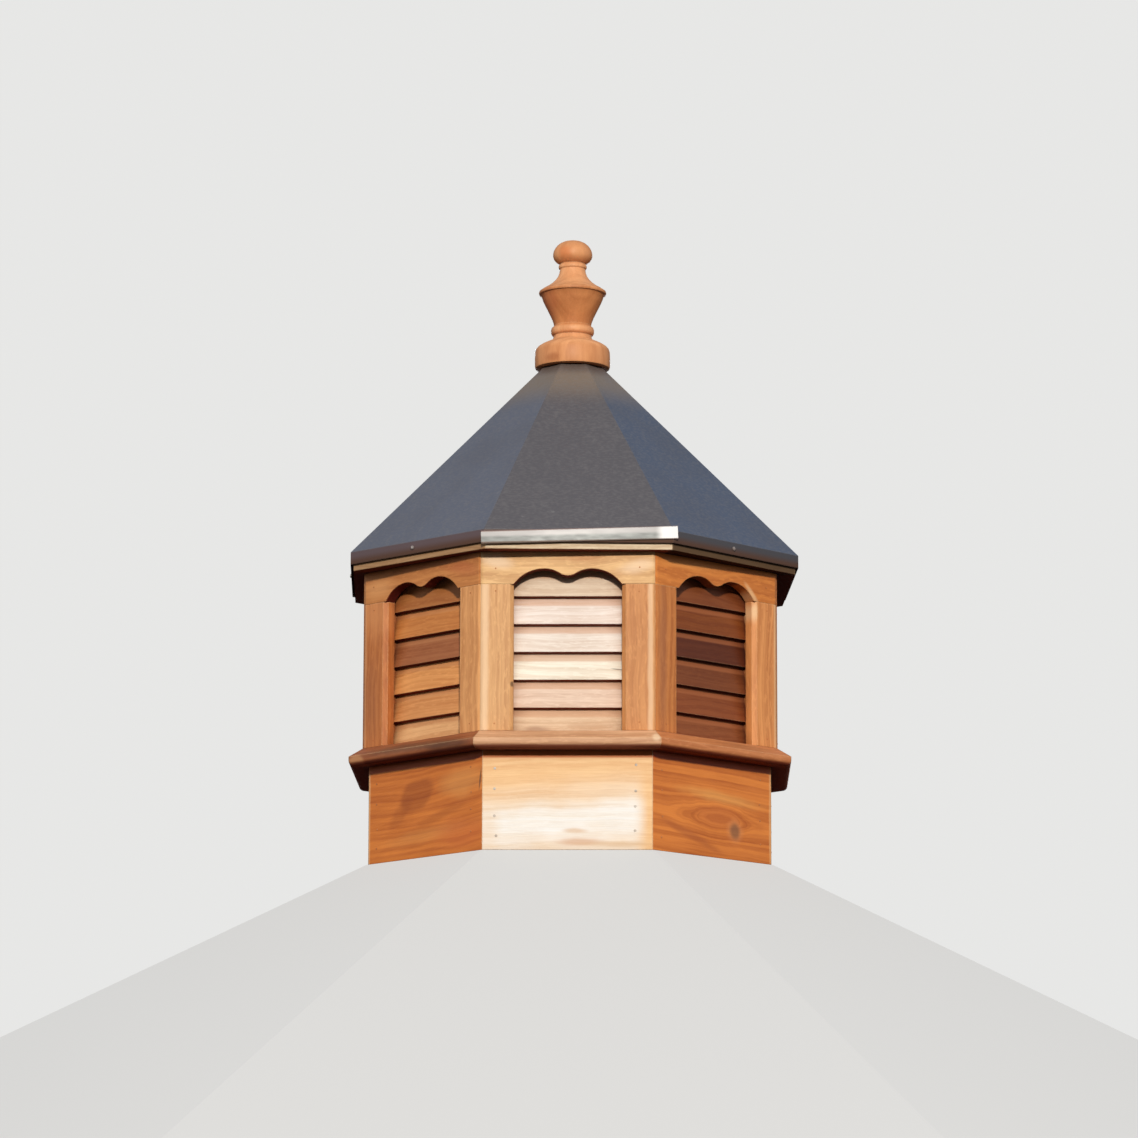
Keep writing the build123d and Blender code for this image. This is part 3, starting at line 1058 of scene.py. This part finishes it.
def coated_sheet():
    """The roof's coated sheet: a tone to each panel with painted sky reflection, slight dents, water
    runs, bronze on top, painted shade under the finial and in crevices.
    """
    material, tree, shader = new_material("roof_sheet")
    here = here_on(tree)
    _, _, height = axes(tree, here)
    water = placed(tree, water_runs, {"Vector": here, "Seed": 2.0}).outputs
    edge_and_shade = placed(tree, edges, {"Vector": here, "Radius": 0.003, "Reach": 0.02}).outputs
    patches = noise(tree, here, (9, 9, 9), 5.0, detail=3)
    mottled = scaled(tree, fade(tree, patches, 0.3, 0.6), 0.35, 0.65)
    bronze = times(tree, fade(tree, height, 0.74, 0.80), mottled)
    chalk = noise(tree, here, (150, 150, 380), 9.0)
    scuffs = fade(tree, noise(tree, here, (60, 60, 40), 14.0, detail=3), 0.67, 0.73)
    scuffs = times(tree, scuffs, fade(tree, height, 0.590, 0.540))
    lip = fade(tree, height, LIP_TOP + 0.0010, LIP_TOP - 0.0012)
    dirty = fade(tree, height, LIP_TOP - LIP_HEIGHT * 0.25, LIP_TOP - LIP_HEIGHT * 0.88)
    hanging = tinted(tree, by_panel(tree, LIP_TONES), srgb(84, 50, 24), dirty, 0.9)

    color = by_panel(tree, PANEL_TONES_WITH_PAINTED_SKY)
    for tint, mask, strength in (
        (srgb(126, 124, 124), water["Runs"], 0.35),
        (srgb(60, 58, 60), water["Specks"], 0.12),
        # Dull bronze on the top third, and painted shade just under the finial's foot
        (srgb(134, 118, 100), bronze, 0.95),
        (srgb(92, 74, 68), fade(tree, height, 0.806, 0.822), 0.6),
        # Chalky paint all over, scuffs low down and a cloudy unevenness
        (srgb(132, 128, 126), fade(tree, chalk, 0.42, 0.66), 0.22),
        (srgb(150, 148, 146), scuffs, 0.3),
        (srgb(84, 82, 86), fade(tree, patches, 0.35, 0.65), 0.25),
        # The drip lip, browner with dirt towards its lower edge
        (hanging, lip, 0.95),
        # Pale worn hems and hips that also carry a painted highlight, and painted shade in crevices
        (srgb(128, 126, 128), edge_and_shade["Wear And Highlight"], 0.3),
        (srgb(70, 60, 56), edge_and_shade["Crevice"], 0.5),
    ):
        color = tinted(tree, color, tint, mask, strength)

    dents = noise(tree, here, (7, 7, 10), 8.0, detail=1)
    pits = noise(tree, here, (500, 500, 500), 1.0, detail=1)
    relief = scaled(tree, pits, 0.02, dents)
    rough = scaled(tree, water["Runs"], 0.25, 0.40)
    rough = maths(tree, "MAXIMUM", rough, times(tree, lip, 0.85))
    surface(tree, shader, color, rough, relief, 0.5, 0.006, edge_and_shade["Normal"])
    dress("roof_metal", material)


def bare_metal(name, color, dull, roughness, seed, metallic=0.75, stain=None):
    """Bare metal with a dull patchy surface, which stain may colour further."""
    material, tree, shader = new_material(name)
    patches = noise(tree, here_on(tree), (40, 40, 160), seed, detail=3)
    shade = mixed(tree, fade(tree, patches, 0.35, 0.7), color, dull)
    if stain:
        shade = stain(tree, shade)
    rough = scaled(tree, patches, 0.2, roughness)
    surface(tree, shader, shade, rough, patches, 0.2, 0.0006)
    shader.inputs["Metallic"].default_value = metallic
    return material


# Nails, screws and the front strip

NAIL_HEIGHT = 0.0005
NAIL_ROWS = {-0.112: (0.126, 0.095, 0.054, 0.023), 0.106: (0.133, 0.092, 0.067, 0.031)}
NAIL_SLIP = 0.0015
SCREW_RADIUS = 0.0032
SCREW_HEIGHT = 0.0018
SCREW_OFFSET = -0.008
STRIP_LENGTH = 0.307
STRIP_HEIGHT = 0.0177
STRIP_WIDENING = 1.21
STRIP_THICKNESS = 0.0011
STRIP_RISE = math.radians(1.9)
STRIP_MIDDLE = metal_low.z + LIP_HEIGHT / 2 + 0.0021
STRIP_GAP = 0.0002
LOWER_HEM = (0, -0.0012, -0.0018)
UPPER_HEM = (0, 0.0014, 0.0014)


def pick_faces(shaped, wanted):
    """Selects the faces of a mesh in edit mode whose normals are wanted, and no others."""
    mesh = bmesh.from_edit_mesh(shaped.data)
    for face in mesh.faces:
        face.select = wanted(face.normal)
    bmesh.update_edit_mesh(shaped.data)


def copies(template, places, name, material):
    """One joined mesh with a copy of the template at each place; the template is removed."""
    deselect()
    for place in places:
        mesh = template.data.copy()
        mesh.transform(place)
        copy = add_object(name, mesh)
        copy.select_set(True)
        bpy.context.view_layer.objects.active = copy
    bpy.ops.object.join()
    joined = bpy.context.object
    joined.name = name
    joined.data.materials.append(material)
    bpy.data.objects.remove(template)
    deselect()
    return joined


def nail_head(radius, height):
    """A shallow domed nail head that looks along -Y, with its underside at the origin."""
    deselect()
    bpy.ops.mesh.primitive_cylinder_add(
        vertices=12, radius=radius, depth=height,
        location=(0, -height / 2, 0), rotation=(math.pi / 2, 0, 0),
    )
    head = bpy.context.object
    bpy.ops.object.transform_apply()
    bpy.ops.object.mode_set(mode="EDIT")
    pick_faces(head, lambda normal: normal.y < -0.9)
    bpy.ops.mesh.inset(thickness=radius * 0.35)
    bpy.ops.transform.translate(value=(0, -height * 0.4, 0))
    leave_mesh()
    bpy.ops.object.shade_smooth_by_angle(angle=math.radians(50))
    return head


def nail_place(side, x, y, z, chance):
    """A place on a side, given as on the front side, with a small random slip."""
    slip = [chance.uniform(-NAIL_SLIP, NAIL_SLIP) for _ in range(2)]
    turned = Matrix.Rotation(SIDES.index(side) * SIDE_TURN, 4, "Z")
    return turned @ Matrix.Translation((x + slip[0], y, z + slip[1]))


def add_nails(chance):
    """Nails in the base boards, stiles and rails: galvanised in front, stained over elsewhere."""
    galvanised = bare_metal(
        "nail_steel", srgb(214, 204, 192), srgb(190, 172, 154), 0.6, 3.0, metallic=0.2,
    )
    stained_over = bare_metal(
        "nail_stained", srgb(206, 130, 74), srgb(180, 112, 64), 0.6, 4.0, metallic=0.1,
    )
    front_places, base_places, wall_places = [], [], []
    stile_middle = wall_high.x - STILE_WIDTH * 0.45
    wall_heights = (wall_low.z + 0.012, wall_high.z - 0.012, rail_low.z + 0.026)
    for side in SIDES:
        places = front_places if side == "front" else base_places
        for x, heights in NAIL_ROWS.items():
            places += [nail_place(side, x, base_low.y, z, chance) for z in heights]
        for x in (-stile_middle, stile_middle):
            wall_places += [nail_place(side, x, wall_low.y, z, chance) for z in wall_heights]
    for name, places, radius, steel, slot in (
        ("front_base_nails", front_places, 0.0021, galvanised, "base_cedar"),
        ("base_nails", base_places, 0.0015, stained_over, "base_cedar"),
        ("wall_nails", wall_places, 0.0011, stained_over, "wall_cedar"),
    ):
        nails = copies(nail_head(radius, NAIL_HEIGHT), places, name, steel)
        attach(nails, "root")


def add_lip_screws():
    """One pan-head screw in the drip lip of each side but the front."""
    bright = bare_metal("screw_zinc", srgb(196, 186, 180), srgb(160, 146, 138), 0.35, 6.0)
    on_lip = Matrix.Translation((SCREW_OFFSET, -EAVE_APOTHEM, metal_low.z + LIP_HEIGHT * 0.5))
    places = [
        Matrix.Rotation(number * SIDE_TURN + ROOF_TURN, 4, "Z") @ on_lip
        for number in range(1, len(SIDES))
    ]
    screws = copies(nail_head(SCREW_RADIUS, SCREW_HEIGHT), places, "lip_screws", bright)
    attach(screws, "root")


def strip_glint_and_rust(tree, dull):
    """Zinc with a painted sheen on its upper half and a painted glint at its right end, with rust
    along its hems.
    """
    x, _, z = axes(tree, here_on(tree))
    above = maths(tree, "SUBTRACT", z, STRIP_MIDDLE)
    above = scaled(tree, x, -math.tan(STRIP_RISE), above)
    spread = scaled(tree, x, (STRIP_WIDENING - 1) / STRIP_LENGTH / 2, 0.5)
    spread = maths(tree, "ADD", spread, (STRIP_WIDENING - 1) / 4)
    share = maths(tree, "DIVIDE", above, times(tree, spread, STRIP_HEIGHT))
    color = mixed(tree, fade(tree, share, -0.25, 0.25), dull, srgb(186, 182, 178))
    color = mixed(tree, fade(tree, x, 0.135, 0.150), color, srgb(238, 236, 232))
    color = tinted(tree, color, srgb(140, 108, 98), fade(tree, share, 0.72, 0.92), 0.85)
    return tinted(tree, color, srgb(112, 84, 66), fade(tree, share, -0.86, -0.98), 0.8)


def add_front_strip():
    """The bright strip of flashing over the front drip lip, nailed on a little crooked; its pale
    colour is a painted reflection of the light.
    """
    deselect()
    bpy.ops.mesh.primitive_cube_add(size=1, location=(0, 0, 0))
    strip = bpy.context.object
    strip.name = "front_drip_strip"
    strip.scale = (STRIP_LENGTH, STRIP_THICKNESS, STRIP_HEIGHT)
    bpy.ops.object.transform_apply()
    bpy.ops.object.mode_set(mode="EDIT")
    pick_faces(strip, lambda normal: normal.x > 0.9)
    bpy.ops.transform.resize(value=(1, 1, STRIP_WIDENING), center_override=(0, 0, 0))
    pick_faces(strip, lambda normal: normal.z < -0.9)
    bpy.ops.mesh.extrude_region_move(TRANSFORM_OT_translate={"value": LOWER_HEM})
    pick_faces(strip, lambda normal: normal.z > 0.9)
    bpy.ops.mesh.extrude_region_move(TRANSFORM_OT_translate={"value": UPPER_HEM})
    bpy.ops.mesh.select_all(action="SELECT")
    bpy.ops.mesh.bevel(offset=0.0003, segments=2)
    leave_mesh()
    bpy.ops.object.shade_smooth_by_angle(angle=math.radians(35))
    on_lip = (0.001, -EAVE_APOTHEM - STRIP_THICKNESS / 2 - STRIP_GAP, STRIP_MIDDLE)
    tilted = Matrix.Translation(on_lip) @ Matrix.Rotation(-STRIP_RISE, 4, "Y")
    strip.data.transform(Matrix.Rotation(ROOF_TURN, 4, "Z") @ tilted)
    strip.data.materials.append(bare_metal(
        "strip_zinc", srgb(158, 160, 155), srgb(138, 139, 135), 0.46, 11.0,
        metallic=0.3, stain=strip_glint_and_rust,
    ))
    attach(strip, "root")


bpy.context.scene.view_settings.view_transform = "Standard"
add_camera()
add_surroundings()
add_lights()
add_floor()

grain_chance = random.Random(4)
base_boards(grain_chance)
sills(grain_chance)
walls(grain_chance)
louvres(grain_chance)
inner_woods()
add_finial()
coated_sheet()
add_nails(random.Random(8))
add_lip_screws()
add_front_strip()
